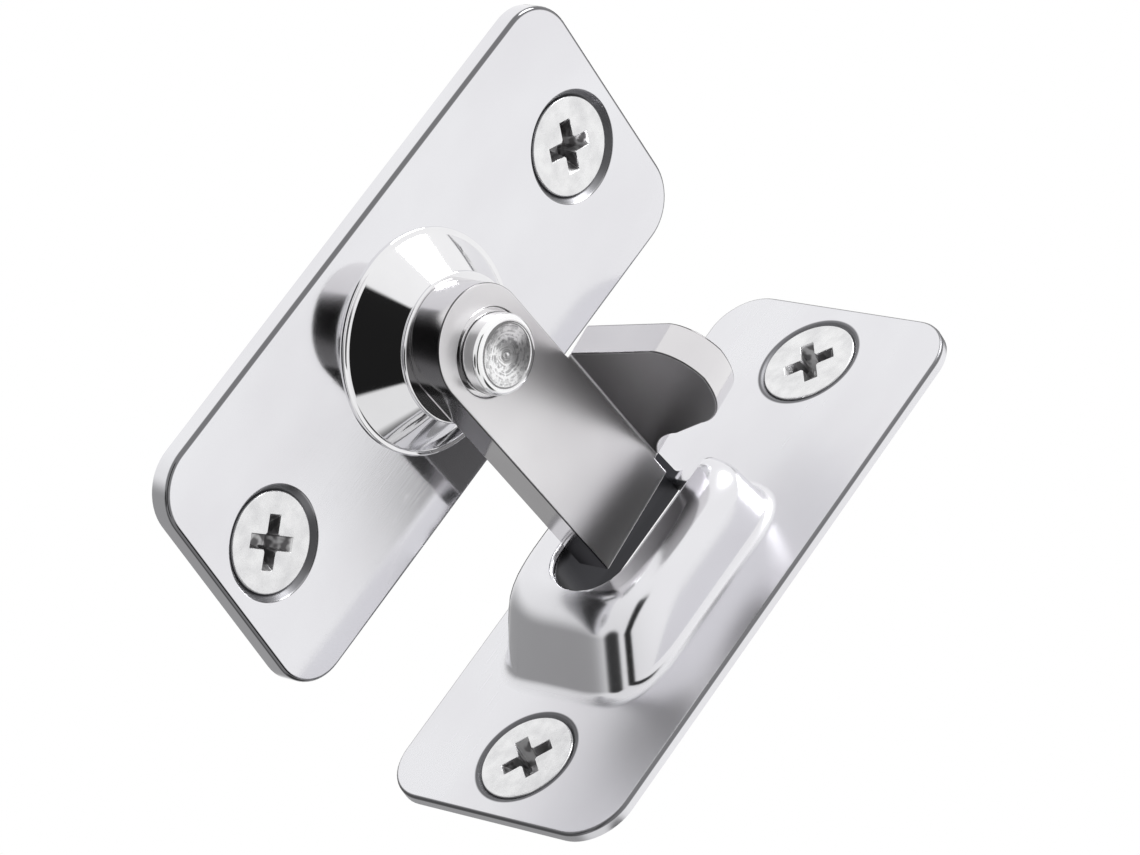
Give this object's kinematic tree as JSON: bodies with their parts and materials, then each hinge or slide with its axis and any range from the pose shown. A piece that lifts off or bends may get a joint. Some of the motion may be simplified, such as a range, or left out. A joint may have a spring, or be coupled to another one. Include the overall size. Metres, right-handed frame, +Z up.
{
  "type": "toggle bolt latch",
  "caption": "Right-angle toggle bolt latch: a swing bar with a thumb tab pivots on a bolt plate and drops into the slotted pocket of a keeper plate.",
  "frame": {"origin": "middle of the bolt plate's back face, behind the pivot", "axes": "+X from the pivot towards the keeper plate, -Y out of the bolt plate's face, +Z up the plates' length"},
  "size_m": [0.0495, 0.032, 0.0575],
  "materials": {
    "plate_steel": "polished stainless steel",
    "bar_steel": "fine brushed and polished stainless steel",
    "pivot_steel": "bright polished",
    "screw_steel": "bright satin"
  },
  "bodies": {
    "bolt_plate_body": {"bolt_plate": "plate_steel", "pivot_post": "plate_steel", "friction_washer": "pivot_steel", "pivot_rivet": "pivot_steel", "lower_bolt_screw": "screw_steel", "upper_bolt_screw": "screw_steel"},
    "bar": {"swing_bar": "bar_steel"},
    "keeper": {"keeper_plate": "plate_steel", "lower_keeper_screw": "screw_steel", "upper_keeper_screw": "screw_steel"}
  },
  "joints": [
    {"name": "bar_swing", "type": "hinge", "parent": "bolt_plate_body", "child": "bar", "pos_m": [0, -0.00745, 0], "axis": [0, -1, 0], "range_deg": [-3.5, 174]},
    {"name": "keeper_off", "type": "slide", "parent": "bolt_plate_body", "child": "keeper", "axis": [1, 0, 0], "range_m": [0, 0.03]}
  ]
}
